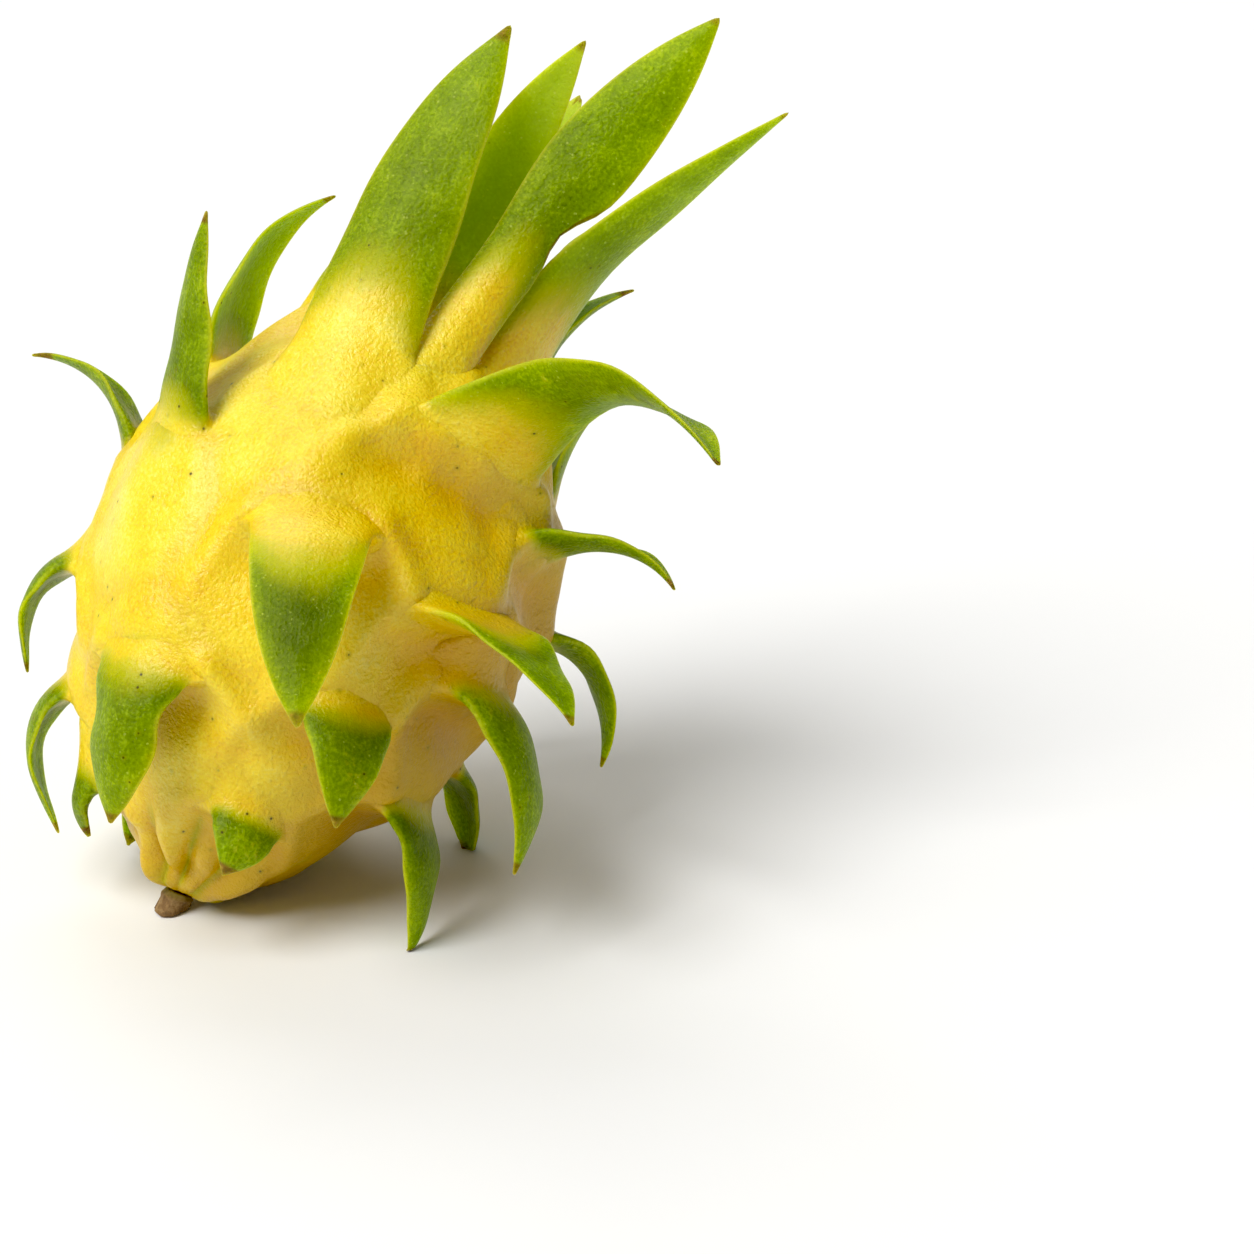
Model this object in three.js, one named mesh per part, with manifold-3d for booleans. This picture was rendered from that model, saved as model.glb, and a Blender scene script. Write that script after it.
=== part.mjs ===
// A yellow dragon fruit as picked. Its plump yellow fruit runs out into long green scales, its crown
// holds the dried remains of the flower, and it stands on the cut stub of its stem and on the tips of
// lower scales. Millimetres, +Z up. The table is at Z = 0, the front faces -Y, and the origin is under
// the middle.

import * as THREE from 'three';
import { mergeVertices } from 'three/addons/utils/BufferGeometryUtils.js';
import Module from 'manifold-3d';

const wasm = await Module();
wasm.setup();

const { degToRad, lerp } = THREE.MathUtils;

// How the fruit leans on the table: to the right, then away from the front.
const LEAN_RIGHT = 23.6;
const LEAN_BACK = 20;

// The skin's outline from the stem end to the crown: distance up the axis, radius.
const OUTLINE = [
  [0, 0], [0, 5], [1, 8.5], [7, 15.5], [20, 25.5], [40, 38], [62, 43], [82, 41.2],
  [99, 34.4], [112, 26], [120, 18], [121, 12], [114, 8.5], [109, 5], [109, 0],
];
const BODY_COLUMNS = 44;
const BODY_ROWS = 38;

// The scales. "at" is the root's distance along the outline from the stem end and "turn" its place
// round the axis, 0 in front and 90 on the right. "lift" is the blade's angle from the skin's normal
// towards the crown at its root, middle and tip, and "veer" turns that direction to the right at the
// root and the tip. "cup" curls the margins inwards, "waist" narrows the lower blade, "stalk" its foot,
// and a larger "taper" keeps it broad nearer the tip. Angles in degrees.
const SCALES = [
  // Small scales round the stem end.
  {
    name: 'stem_front', at: 36, turn: 18, long: 15, wide: 15,
    lift: [28, -35, -85], veer: [0, 8], cup: -0.2,
  },
  {
    name: 'stem_left', at: 29, turn: -80, long: 15, wide: 13,
    lift: [10, -68, -100], veer: [0, 0], cup: -0.2,
  },
  { name: 'stem_back', at: 30, turn: 150, long: 13, wide: 13, lift: [50, 20, -10], veer: [0, 0] },
  { name: 'stem_rear_left', at: 28, turn: -148, long: 18, wide: 14, lift: [30, -25, -70], veer: [0, 0] },
  // Lower ring.
  {
    name: 'low_left', at: 46, turn: -91, long: 37, wide: 17,
    lift: [26, -78, -100], veer: [0, 0], cup: -0.2,
  },
  {
    name: 'low_front_left', at: 61, turn: -30, long: 35, wide: 23,
    lift: [-26, -84, -90], veer: [-10, -6], cup: -0.3, waist: 0.25, taper: 2.4,
  },
  {
    name: 'low_front_right', at: 67, turn: 26, long: 27, wide: 18,
    lift: [8, -50, -82], veer: [-4, -14], cup: -0.2,
  },
  {
    name: 'low_right', at: 52, turn: 70, long: 33, wide: 20,
    lift: [10, -34, -58], veer: [0, 0], cup: -0.2,
  },
  {
    name: 'low_back_right', at: 62, turn: 122, long: 31, wide: 20,
    lift: [15, -30, -62], veer: [0, 0], cup: -0.2,
  },
  {
    name: 'low_back', at: 56, turn: 172, long: 32, wide: 20,
    lift: [15, -25, -52], veer: [0, 0], cup: -0.2,
  },
  {
    name: 'low_rear_left', at: 62, turn: -142, long: 38, wide: 21,
    lift: [20, -50, -85], veer: [0, 0], cup: -0.2,
  },
  // Middle ring.
  {
    name: 'mid_left', at: 71, turn: -92, long: 31, wide: 17,
    lift: [12, -78, -110], veer: [0, 0], cup: -0.1,
  },
  {
    name: 'mid_front', at: 97, turn: -1, long: 54, wide: 22,
    lift: [-6, -66, -78], veer: [-16, -25], cup: -0.15, taper: 3,
  },
  {
    name: 'mid_right', at: 92, turn: 43, long: 44, wide: 23,
    lift: [-4, -18, -45], veer: [-10, -6], cup: 0.1,
  },
  {
    name: 'mid_lower_right', at: 79, turn: 62, long: 42, wide: 21,
    lift: [8, -46, -80], veer: [0, 0], cup: -0.2,
  },
  { name: 'mid_far_right', at: 109, turn: 73, long: 34, wide: 19, lift: [18, -10, -62], veer: [0, 0] },
  { name: 'mid_back_right', at: 92, turn: 112, long: 42, wide: 21, lift: [25, -40, -90], veer: [0, 0] },
  { name: 'mid_back', at: 97, turn: 158, long: 46, wide: 23, lift: [30, -40, -90], veer: [0, 0] },
  { name: 'mid_rear_left', at: 90, turn: -150, long: 42, wide: 21, lift: [35, -30, -85], veer: [0, 0] },
  // Upper ring.
  { name: 'high_left', at: 93, turn: -98, long: 36, wide: 16, lift: [56, 16, -36], veer: [0, 0] },
  { name: 'high_front_left', at: 103, turn: -56, long: 43, wide: 19, lift: [50, 56, 60], veer: [2, 0] },
  {
    name: 'high_right', at: 122, turn: 38, long: 84, wide: 29,
    lift: [33, -21, -56], veer: [10, 5], waist: 0.3, taper: 2.6,
  },
  {
    name: 'high_far_right', at: 114, turn: 100, long: 30, wide: 17,
    lift: [74, 62, 36], veer: [0, 0], taper: 1.5,
  },
  { name: 'high_back', at: 122, turn: 150, long: 44, wide: 21, lift: [50, 10, -40], veer: [0, 0] },
  { name: 'high_rear', at: 119, turn: -172, long: 50, wide: 21, lift: [50, 15, -35], veer: [0, 0] },
  { name: 'high_rear_left', at: 115, turn: -112, long: 50, wide: 19, lift: [32, 68, 112], veer: [0, -8] },
  // Long leaves round the crown.
  {
    name: 'crown_front_left', at: 131, turn: -18, long: 74, wide: 23,
    lift: [62, 60, 62], veer: [-10, 9], taper: 3.6,
  },
  {
    name: 'crown_front', at: 137, turn: 15, long: 90, wide: 20,
    lift: [62, 50, 40], veer: [14, 27.5], stalk: 0.38, taper: 5,
  },
  { name: 'crown_right', at: 138, turn: 60, long: 82, wide: 18, lift: [60, 22, 14], veer: [9, 11] },
  { name: 'crown_small_right', at: 138, turn: 116, long: 38, wide: 17, lift: [52, 26, -6], veer: [0, 0] },
  {
    name: 'crown_back', at: 147, turn: 176, long: 76, wide: 16,
    lift: [62, 60, 58], veer: [2, -19], taper: 4,
  },
  {
    name: 'crown_back_right', at: 143, turn: 148, long: 62, wide: 20,
    lift: [60, 46, 26], veer: [0, 0], taper: 4,
  },
  { name: 'crown_rear_left', at: 141, turn: -104, long: 46, wide: 20, lift: [50, 62, 76], veer: [0, 0] },
  // Short inner leaves round the dried flower.
  {
    name: 'inner_right', at: 146, turn: 125, long: 44, wide: 18,
    lift: [20, 14, 8], veer: [0, 0], taper: 4,
  },
  { name: 'inner_left', at: 147, turn: -50, long: 17, wide: 14, lift: [14, 12, 8], veer: [0, 0] },
  {
    name: 'inner_back', at: 148, turn: -165, long: 29, wide: 16,
    lift: [18, 12, 14], veer: [0, 0], taper: 7,
  },
];

const BLADE_SIDES = 10;
const BLADE_STATIONS = 8;
const ROOT_SUNK = 7;
const ROOT_FLARE = 0.2;
const BLADE_HALF_THICKNESS = 0.95;
const ROOT_HALF_THICKNESS = 4.2;
const ROOT_FADE = 7;
const BLADE_TAPER = 2.1;
const TIP_SHARE = 0.05;

// The skin swells where a scale leaves it, on the crown side of a drooping scale and on the stem side
// of an upright one, and sags between. To the scales of the crown, past CROWN_START, it hardly swells.
const SWELL = 5;
const SWELL_CROWN = 0.8;
const CROWN_START = 130;
const SWELL_NEAR = 4.5;
const SWELL_FAR = 19;

// Folds in the skin round the stem end.
const FOLDS = 9;
const FOLD_DEPTH = 1.1;

// The stem stub and the dried flower.
const JOINT_GAP = 0.3;
const STUB_LENGTH = 4;
const STUB_RADIUS = 3.2;
const FLOWER_RADIUS = 3.8;
const FLOWER_HEIGHT = 13;
const FLOWER_LOBES = 7;

const outline = new THREE.SplineCurve(OUTLINE.map(([height, radius]) => new THREE.Vector2(height, radius)));
const OUTLINE_LENGTH = outline.getLength();

// A turn's direction away from the axis, 0 towards the front and 90 towards the right.
function radialDirection(turn) {
  return new THREE.Vector3(Math.sin(turn), -Math.cos(turn), 0);
}

// The plain skin's point, normal, crownward and sideways directions at a share of the outline.
function skinFrame(share, turn) {
  const spot = outline.getPointAt(share);
  const slope = outline.getTangentAt(share);
  const radial = radialDirection(turn);
  const axis = new THREE.Vector3(0, 0, 1);
  return {
    point: radial.clone().multiplyScalar(spot.y).addScaledVector(axis, spot.x),
    out: radial.clone().multiplyScalar(slope.x).addScaledVector(axis, -slope.y),
    up: radial.clone().multiplyScalar(slope.y).addScaledVector(axis, slope.x),
    side: new THREE.Vector3(Math.cos(turn), Math.sin(turn), 0),
  };
}

for (const scale of SCALES) {
  scale.root = skinFrame(scale.at / OUTLINE_LENGTH, degToRad(scale.turn));
}

// How far the skin stands out at a point for one scale's swelling.
function swelling(scale, point) {
  const { root, wide, lift, veer } = scale;
  const away = point.clone().sub(root.point);
  const lean = degToRad(veer[0]);
  const x = (away.dot(root.side) * Math.cos(lean) - away.dot(root.up) * Math.sin(lean)) / (0.62 * wide);
  const y = away.dot(root.up) * Math.cos(lean) + away.dot(root.side) * Math.sin(lean);
  const deep = away.dot(root.out) / SWELL_FAR;
  const towardsCrown = lift[1] < 45 ? 1 : -1;
  const reach = y * towardsCrown > 0 ? SWELL_FAR : SWELL_NEAR;
  const swell = scale.at > CROWN_START ? SWELL_CROWN : SWELL;
  return swell * Math.exp(-x * x - (y / reach) ** 2 - deep * deep) * Math.min(1, wide / 22);
}

// The skin's point at a share of the outline, with its swellings and its folds at the stem end.
function skinPoint(share, turn) {
  const { point, out } = skinFrame(share, turn);
  let height = 0;
  for (const scale of SCALES) height += swelling(scale, point);
  const nearStem = Math.exp(-(((share * OUTLINE_LENGTH - 17) / 9) ** 2));
  height -= FOLD_DEPTH * nearStem * (1 + Math.cos(FOLDS * turn + 2 * Math.sin(2 * turn)));
  const start = THREE.MathUtils.smoothstep(share, 0, 0.06);
  const calm = start * (1 - THREE.MathUtils.smoothstep(share, 0.9, 0.95));
  return point.addScaledVector(out, height * calm);
}

// A value that runs smoothly through its root, middle and tip.
function through([root, middle, tip], t) {
  return root * (1 - t) * (1 - 2 * t) + 4 * middle * t * (1 - t) + tip * t * (2 * t - 1);
}

// A blade's directions at a share of its length: along it, across it and out of its inner face.
function bladeDirections(scale, t) {
  const { out, up, side } = scale.root;
  const lift = degToRad(through(scale.lift, t));
  const veer = degToRad(lerp(scale.veer[0], scale.veer[1], t));
  const rise = up.clone().multiplyScalar(Math.cos(veer)).addScaledVector(side, Math.sin(veer));
  const along = out.clone().multiplyScalar(Math.cos(lift)).addScaledVector(rise, Math.sin(lift));
  const face = out.clone().multiplyScalar(-Math.sin(lift)).addScaledVector(rise, Math.cos(lift));
  const across = side.clone().multiplyScalar(Math.cos(veer)).addScaledVector(up, -Math.sin(veer));
  return { along, across, face };
}

// The middle of a blade at a share of its length, found by walking out from its root.
const WALK_STEPS = 48;
function bladeMiddle(scale, t) {
  const middle = scale.root.point.clone();
  if (t <= 0) return middle.addScaledVector(bladeDirections(scale, 0).along, t * scale.long);
  const steps = Math.ceil(t * WALK_STEPS);
  for (let i = 0; i < steps; i++) {
    middle.addScaledVector(bladeDirections(scale, ((i + 0.5) * t) / steps).along, (t * scale.long) / steps);
  }
  return middle;
}

// A point of a blade: t along it, and x and y on the unit circle of its section.
function bladePoint(scale, t, x, y) {
  const out = Math.max(t, 0);
  const { across, face } = bladeDirections(scale, out);
  const fromRoot = Math.exp((-out * scale.long) / ROOT_FADE);
  const taper = Math.max(TIP_SHARE, (1 - out ** (scale.taper ?? BLADE_TAPER)) ** 0.95);
  const waist = 1 - (scale.waist ?? 0) * Math.sin(Math.PI * Math.min(1, out / 0.7)) ** 2;
  const stalk = 1 - (scale.stalk ?? 0) * (1 - THREE.MathUtils.smoothstep(out, 0.28, 0.62));
  const halfWidth = (scale.wide / 2) * taper * waist * stalk * (1 + ROOT_FLARE * fromRoot);
  const halfThickness = (BLADE_HALF_THICKNESS + ROOT_HALF_THICKNESS * fromRoot) * taper ** 0.35;
  const cup = (scale.cup ?? 0.22) * halfWidth * (x * x - 0.4) * (1 - fromRoot);
  const aside = halfWidth * x;
  const { point, out: outward } = scale.root;
  const skinCurve = (aside * aside * fromRoot) / (2 * Math.hypot(point.x, point.y));
  return bladeMiddle(scale, t)
    .addScaledVector(across, aside)
    .addScaledVector(face, halfThickness * y + cup)
    .addScaledVector(outward, -skinCurve);
}

// Turns a closed three.js shape, its vertices moved by "place", into a solid.
function solidFrom(geometry, place) {
  geometry.deleteAttribute('normal');
  geometry.deleteAttribute('uv');
  const spots = geometry.getAttribute('position');
  for (let i = 0; i < spots.count; i++) {
    const spot = place(new THREE.Vector3().fromBufferAttribute(spots, i));
    spots.setXYZ(i, spot.x, spot.y, spot.z);
  }
  const merged = mergeVertices(geometry, 1e-3);
  return new wasm.Manifold(new wasm.Mesh({
    numProp: 3,
    vertProperties: merged.getAttribute('position').array,
    triVerts: new Uint32Array(merged.index.array),
  }));
}

function meshFrom(name, solid, material) {
  const { numProp, numVert, vertProperties, triVerts } = solid.getMesh();
  const spots = new Float32Array(numVert * 3);
  for (let i = 0; i < numVert; i++) {
    spots.set(vertProperties.subarray(i * numProp, i * numProp + 3), i * 3);
  }
  const geometry = new THREE.BufferGeometry();
  geometry.setAttribute('position', new THREE.BufferAttribute(spots, 3));
  geometry.setIndex(new THREE.BufferAttribute(triVerts, 1));
  geometry.computeVertexNormals();
  const mesh = new THREE.Mesh(geometry, material);
  mesh.name = name;
  return mesh;
}

// The fruit's skin: a globe whose rings follow the outline.
function bodySolid() {
  return solidFrom(new THREE.SphereGeometry(1, BODY_COLUMNS, BODY_ROWS), (spot) => {
    const share = Math.acos(THREE.MathUtils.clamp(-spot.y, -1, 1)) / Math.PI;
    return skinPoint(share, Math.atan2(spot.x, spot.z));
  });
}

// One scale: a closed tube whose rings become the blade's lens-shaped sections.
function scaleSolid(scale) {
  const sunk = -ROOT_SUNK / scale.long;
  return solidFrom(new THREE.CylinderGeometry(1, 1, 1, BLADE_SIDES, BLADE_STATIONS), (spot) => {
    const station = Math.round((spot.y + 0.5) * BLADE_STATIONS);
    const t = station === 0 ? sunk : (station - 1) / (BLADE_STATIONS - 1);
    return bladePoint(scale, t, -spot.x, spot.z);
  });
}

// The cut stub of the stem: a knobbly peg that ends flat on the table.
function stubSolid(toTable) {
  return solidFrom(new THREE.CylinderGeometry(1, 1, 1, 14, 3), (spot) => {
    const turn = Math.atan2(spot.x, spot.z);
    const down = 0.5 - spot.y;
    const radius = STUB_RADIUS * Math.hypot(spot.x, spot.z) * (1 + 0.12 * Math.cos(3 * turn) + 0.2 * down);
    const top = radialDirection(turn).multiplyScalar(radius).add(new THREE.Vector3(0, 0, -JOINT_GAP));
    const end = toTable(top);
    return top.lerp(end, down);
  });
}

// The dried flower in the crown's hollow: a withered, fluted tuft.
function flowerSolid() {
  const floor = OUTLINE.at(-1)[0] + JOINT_GAP;
  return solidFrom(new THREE.CylinderGeometry(1, 1, 1, 2 * FLOWER_LOBES, 4), (spot) => {
    const turn = Math.atan2(spot.x, spot.z);
    const rise = spot.y + 0.5;
    const lobe = 1 + 0.22 * Math.cos(FLOWER_LOBES * turn) * rise;
    const radius = FLOWER_RADIUS * lerp(0.72, 1, rise) * lobe * Math.hypot(spot.x, spot.z);
    const ragged = 1 + 0.16 * Math.sin(3 * turn) * Math.hypot(spot.x, spot.z);
    return radialDirection(turn).multiplyScalar(radius).setZ(floor + FLOWER_HEIGHT * rise * ragged);
  });
}

const skin = new THREE.MeshStandardMaterial({ color: 0xe9bf24, roughness: 0.42, metalness: 0 });
const cork = new THREE.MeshStandardMaterial({ color: 0x8a7448, roughness: 0.85, metalness: 0 });
const withered = new THREE.MeshStandardMaterial({ color: 0x5a4326, roughness: 0.9, metalness: 0 });

// The fruit leans in this group, its stem end held above the table by the stub.
const leaning = new THREE.Group();
leaning.rotation.set(-degToRad(LEAN_BACK), degToRad(LEAN_RIGHT), 0);
leaning.position.set(0, 0, STUB_LENGTH);
leaning.updateMatrixWorld(true);
const toFruit = leaning.matrixWorld.clone().invert();

// Where a line down the fruit's axis from a point of it meets the table.
function downTheAxisToTable(point) {
  const world = point.clone().applyMatrix4(leaning.matrixWorld);
  const axis = new THREE.Vector3(0, 0, 1).transformDirection(leaning.matrixWorld);
  return world.addScaledVector(axis, -world.z / axis.z).applyMatrix4(toFruit);
}

// Scales that reach the table end flat on it.
const TABLE_SIZE = 400;
const SMALLEST_FACET = 0.05;
const table = solidFrom(new THREE.BoxGeometry(TABLE_SIZE, TABLE_SIZE, TABLE_SIZE), (spot) =>
  spot.setZ(spot.z - TABLE_SIZE / 2).applyMatrix4(toFruit),
);

let fruit = bodySolid();
for (const scale of SCALES) fruit = fruit.add(scaleSolid(scale));
fruit = fruit.subtract(table).simplify(SMALLEST_FACET);

leaning.add(
  meshFrom('fruit', fruit, skin),
  meshFrom('stem_stub', stubSolid(downTheAxisToTable), cork),
  meshFrom('dried_flower', flowerSolid(), withered),
);

// The origin goes under the middle of the whole.
const standing = new THREE.Group();
standing.add(leaning);
standing.updateMatrixWorld(true);
const middle = new THREE.Box3().setFromObject(standing, true).getCenter(new THREE.Vector3());
leaning.position.x -= middle.x;
leaning.position.y -= middle.y;

export default standing;
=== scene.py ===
# A yellow dragon fruit as picked: waxy yellow skin that runs out into long green scales, the withered
# flower in its crown and the cut stub of its stem.
import math

import bpy
import numpy as np
from mathutils import Matrix, Vector, noise


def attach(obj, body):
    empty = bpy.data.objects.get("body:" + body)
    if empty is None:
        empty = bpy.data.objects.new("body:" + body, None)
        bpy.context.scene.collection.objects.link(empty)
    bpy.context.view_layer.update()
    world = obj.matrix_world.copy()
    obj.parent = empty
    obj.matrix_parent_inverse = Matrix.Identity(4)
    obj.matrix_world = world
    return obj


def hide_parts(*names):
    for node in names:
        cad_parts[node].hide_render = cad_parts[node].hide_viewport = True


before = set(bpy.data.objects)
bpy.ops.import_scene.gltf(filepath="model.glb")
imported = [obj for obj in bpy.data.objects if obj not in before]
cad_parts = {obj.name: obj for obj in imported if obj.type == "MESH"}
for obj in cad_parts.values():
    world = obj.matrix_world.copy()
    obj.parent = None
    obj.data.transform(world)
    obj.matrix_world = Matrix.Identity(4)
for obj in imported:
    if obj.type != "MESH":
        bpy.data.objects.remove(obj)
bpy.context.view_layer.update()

MM = 0.001

# Where the stem end stands and how the fruit leans: to the right, then away from the front.
STEM_END = (-44.38, -23.53, 4.0)
LEAN_RIGHT = math.radians(23.6)
LEAN_BACK = math.radians(20)

# The skin's outline from the stem end to the crown: distance up the axis, radius.
OUTLINE = [
    (0, 0), (0, 5), (1, 8.5), (7, 15.5), (20, 25.5), (40, 38), (62, 43), (82, 41.2),
    (99, 34.4), (112, 26), (120, 18), (121, 12), (114, 8.5), (109, 5), (109, 0),
]

# The scales: the root's distance along the outline and turn round the axis (0 in front, 90 on the
# right), the length and the width, the lift from the skin's normal towards the crown at the root, the
# middle and the tip, and the veer to the right at the root and the tip. Last, how a scale differs from
# the plain one below. Millimetres and degrees.
SCALES = {
    # Small scales round the stem end.
    "stem_front": (36, 18, 15, 15, (28, -35, -85), (0, 8), dict(cup=-0.2, green=0.15)),
    "stem_left": (29, -80, 15, 13, (10, -68, -100), (0, 0), dict(cup=-0.2, green=0.0)),
    "stem_back": (30, 150, 13, 13, (50, 20, -10), (0, 0), dict()),
    "stem_rear_left": (28, -148, 18, 14, (30, -25, -70), (0, 0), dict()),
    # Lower ring.
    "low_left": (46, -91, 37, 17, (26, -78, -100), (0, 0), dict(cup=-0.2)),
    "low_front_left": (
        61, -30, 35, 23, (-26, -84, -90), (-10, -6),
        dict(cup=-0.3, waist=0.25, taper=2.4, green=0, fade=0.5),
    ),
    "low_front_right": (67, 26, 27, 18, (8, -50, -82), (-4, -14), dict(cup=-0.2, green=0.15, shade=0.2)),
    "low_right": (52, 70, 33, 20, (10, -34, -58), (0, 0), dict(cup=-0.2)),
    "low_back_right": (62, 122, 31, 20, (15, -30, -62), (0, 0), dict(cup=-0.2)),
    "low_back": (56, 172, 32, 20, (15, -25, -52), (0, 0), dict(cup=-0.2)),
    "low_rear_left": (62, -142, 38, 21, (20, -50, -85), (0, 0), dict(cup=-0.2)),
    # Middle ring.
    "mid_left": (71, -92, 31, 17, (12, -78, -110), (0, 0), dict(cup=-0.1)),
    "mid_front": (
        97, -1, 54, 22, (-6, -66, -78), (-16, -25),
        dict(cup=-0.15, taper=3, green=0.22, fade=0.5, shade=0.8),
    ),
    "mid_right": (92, 43, 44, 23, (-4, -18, -45), (-10, -6), dict(cup=0.1, green=0.3)),
    "mid_lower_right": (79, 62, 42, 21, (8, -46, -80), (0, 0), dict(cup=-0.2)),
    "mid_far_right": (109, 73, 34, 19, (18, -10, -62), (0, 0), dict()),
    "mid_back_right": (92, 112, 42, 21, (25, -40, -90), (0, 0), dict()),
    "mid_back": (97, 158, 46, 23, (30, -40, -90), (0, 0), dict()),
    "mid_rear_left": (90, -150, 42, 21, (35, -30, -85), (0, 0), dict()),
    # Upper ring.
    "high_left": (93, -98, 36, 16, (56, 16, -36), (0, 0), dict(dry=6)),
    "high_front_left": (103, -56, 43, 19, (50, 56, 60), (2, 0), dict(green=0.05)),
    "high_right": (122, 38, 84, 29, (33, -21, -56), (10, 5), dict(waist=0.3, taper=2.6, green=0.1)),
    "high_far_right": (
        114, 100, 30, 17, (74, 62, 36), (0, 0),
        dict(taper=1.5, green=0.22, fade=0.42, apron=5, shade=-0.35),
    ),
    "high_back": (122, 150, 44, 21, (50, 10, -40), (0, 0), dict()),
    "high_rear": (119, -172, 50, 21, (50, 15, -35), (0, 0), dict()),
    "high_rear_left": (115, -112, 50, 19, (32, 68, 112), (0, -8), dict(green=0.08, shade=-0.35)),
    # Long leaves round the crown.
    "crown_front_left": (
        131, -18, 74, 23, (62, 60, 62), (-10, 9),
        dict(taper=3.6, green=0.12, dry=4, fade=0.4, apron=12, shade=-0.1),
    ),
    "crown_front": (
        137, 15, 90, 20, (62, 50, 40), (14, 27.5),
        dict(stalk=0.38, taper=5, green=0.18, apron=12, bite=0.6),
    ),
    "crown_right": (138, 60, 82, 18, (60, 22, 14), (9, 11), dict(green=0.18, apron=12, shade=-0.15)),
    "crown_small_right": (138, 116, 38, 17, (52, 26, -6), (0, 0), dict(dry=5, apron=6)),
    "crown_back": (
        147, 176, 76, 16, (62, 60, 58), (2, -19),
        dict(stalk=0.2, taper=4, green=0.05, apron=0.5, shade=-0.7),
    ),
    "crown_back_right": (
        143, 148, 62, 20, (60, 46, 26), (0, 0),
        dict(stalk=0.1, taper=4, green=0.05, dry=2, apron=0.5, shade=-0.6, torn=0.8),
    ),
    "crown_rear_left": (141, -104, 46, 20, (50, 62, 76), (0, 0), dict(green=0.1, apron=6)),
    # Short inner leaves round the withered flower.
    "inner_right": (
        146, 125, 44, 18, (20, 14, 8), (0, 0),
        dict(stalk=0.3, taper=4, green=0.15, dry=2.5, apron=1, shade=-0.4, torn=1.2),
    ),
    "inner_left": (147, -50, 17, 14, (14, 12, 8), (0, 0), dict(green=0.2, apron=1)),
    "inner_back": (
        148, -165, 29, 16, (18, 12, 14), (0, 0),
        dict(stalk=0.15, taper=7, green=0.1, dry=2.5, apron=1, shade=-0.4, torn=1.5),
    ),
}

# The plain scale. "cup" curls its margins inwards, "waist" narrows the lower blade and "stalk" its foot, a
# larger "taper" keeps it broad nearer the tip, and the skin runs up into it over its "apron". It turns
# green past the share "green" of its length, over the share "fade", and its tip is dry for "dry"
# millimetres. "shade" is painted shade that darkens the heart of its green, or, below 0, painted light
# that pales all of it. "bite" cuts a notch into its right edge and "torn" makes its end ragged.
PLAIN_SCALE = {
    "cup": 0.22, "waist": 0, "stalk": 0, "taper": 2.1, "apron": 8.5,
    "green": 0.06, "fade": 0.36, "dry": 3, "shade": 0, "bite": 0, "torn": 0,
}

# Scales rooted past these distances stand in the crown, where the skin hardly swells to them, and on or
# inside its rim, where their feet are slim.
CROWN_START = 130
RIM_START = 140

# The blades. The root is thicker and wider, and both fade out along the blade.
BLADE_HALF_THICK = 0.85
ROOT_HALF_THICK = 3.4
ROOT_FLARE = 0.2
ROOT_FADE = 7
TIP_SHARE = 0.04
WAVE_SHARE = 0.045
KEEL_DEEP = 0.35
BITE_PLACE = 0.42
BITE_DRY_PLACE = 0.43
WALK_STEPS = 64

# The skin: its swelling where a scale leaves it, the ridges and hollows there, and its other relief.
SWELL = 5
SWELL_CROWN = 0.8
SWELL_NEAR = 4.5
SWELL_FAR = 19
FULL_WIDE = 22
RIDGE_WIDE = 2.6
FOLDS = 9
FOLD_DEEP = 1.1
STEM_CREASE_DEEP = 1.5
FIELD_CREASE_DEEP = 0.75

# What would sink below this height above the table is pressed to this share of its depth.
PRESSED_UNDER = 0.5 * MM
PRESSED_SHARE = 0.06

# The leaning fruit's own frame, as a turn and the place of its stem end.
LEAN = np.array(Matrix.Rotation(-LEAN_BACK, 3, "X") @ Matrix.Rotation(LEAN_RIGHT, 3, "Y"))


def fruit_place(points):
    """Points of the fruit's own frame, in millimetres, as metres where the leaning fruit stands."""
    return (np.asarray(points) @ LEAN.T + STEM_END) * MM


def pressed_on_table(points):
    """Placed points, with what would sink below the table pressed flat on it."""
    pressed = np.array(points)
    low = pressed[:, 2] < PRESSED_UNDER
    pressed[low, 2] = PRESSED_UNDER + PRESSED_SHARE * (pressed[low, 2] - PRESSED_UNDER)
    return pressed


def smooth(x, low, high):
    """0 below low, 1 above high, and a soft step between."""
    share = np.clip((np.asarray(x, float) - low) / (high - low), 0, 1)
    return share * share * (3 - 2 * share)


def outline_curve():
    """The outline as a fine smooth curve, with the distance walked along it to each of its points."""
    marks = np.array(OUTLINE, float)
    spans = len(marks) - 1
    place = np.linspace(0, spans, 2801)
    first = np.minimum(place.astype(int), spans - 1)
    w = (place - first)[:, None]
    start, end = marks[first], marks[first + 1]
    leave = (end - marks[np.maximum(first - 1, 0)]) / 2
    arrive = (marks[np.minimum(first + 2, spans)] - start) / 2
    curve = (2 * start - 2 * end + leave + arrive) * w**3
    curve += (3 * end - 3 * start - 2 * leave - arrive) * w**2 + leave * w + start
    walked = np.concatenate([[0], np.cumsum(np.linalg.norm(np.diff(curve, axis=0), axis=1))])
    return walked, curve


WALKED, CURVE = outline_curve()
SLOPE = np.gradient(CURVE, WALKED, axis=0)
OUTLINE_LENGTH = WALKED[-1]


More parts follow.
